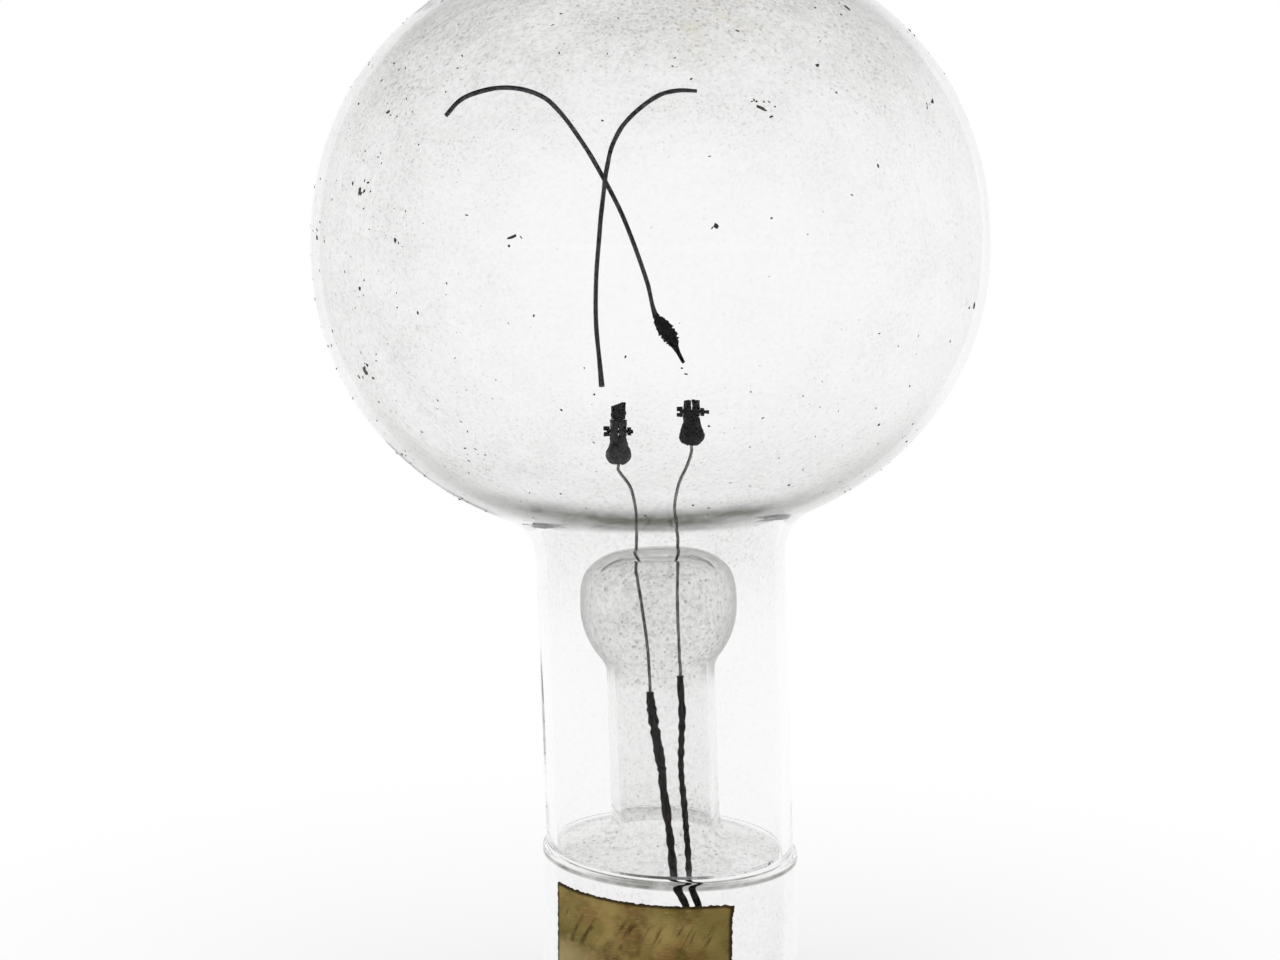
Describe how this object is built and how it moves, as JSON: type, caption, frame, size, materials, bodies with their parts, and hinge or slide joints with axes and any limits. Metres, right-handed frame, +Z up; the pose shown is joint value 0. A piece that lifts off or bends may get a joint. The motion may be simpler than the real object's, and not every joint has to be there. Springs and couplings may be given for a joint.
{
  "type": "dead light bulb",
  "caption": "Early blown-glass filament lamp, burnt out: clear globe and neck on an open skirt, glass stem, bare lead wires, screw clamps, snapped carbon filament and an aged label.",
  "frame": {"origin": "on the table, under the middle of the whole lamp's box, which is the middle of the globe", "axes": "+Z up along the lamp, +X to the right and +Y away from whoever faces the label"},
  "size_m": [0.0826, 0.0826, 0.1402],
  "materials": {
    "clear_glass": "clear blown glass with a thin veil of dust and small dark specks",
    "stem_glass": "clear lamp-worked glass, mottled with dust",
    "platinum": "dull grey drawn wire",
    "solder": "lumpy, darkened solder",
    "aged_copper": "copper wire tarnished almost black, uneven",
    "clamp_metal": "dark oxidised metal",
    "screw_metal": "near-black oxidised metal",
    "carbon": "burnt carbon with a faint grey sheen",
    "aged_paper": "brown aged paper with faded, unreadable ink strokes"
  },
  "bodies": {
    "root": {"glass_envelope": "clear_glass", "stem_tube": "stem_glass", "left_platinum_lead": "platinum", "right_platinum_lead": "platinum", "left_lead_joint": "solder", "right_lead_joint": "solder", "left_copper_lead": "aged_copper", "right_copper_lead": "aged_copper", "left_clamp_body": "clamp_metal", "left_clamp_jaw": "clamp_metal", "left_clamp_screw": "screw_metal", "left_clamp_nut": "screw_metal", "right_clamp_body": "clamp_metal", "right_clamp_jaw": "clamp_metal", "right_clamp_screw": "screw_metal", "right_clamp_nut": "screw_metal", "left_filament_stub": "carbon", "long_filament_fragment": "carbon", "short_filament_fragment": "carbon", "paper_label": "aged_paper"}
  },
  "joints": []
}
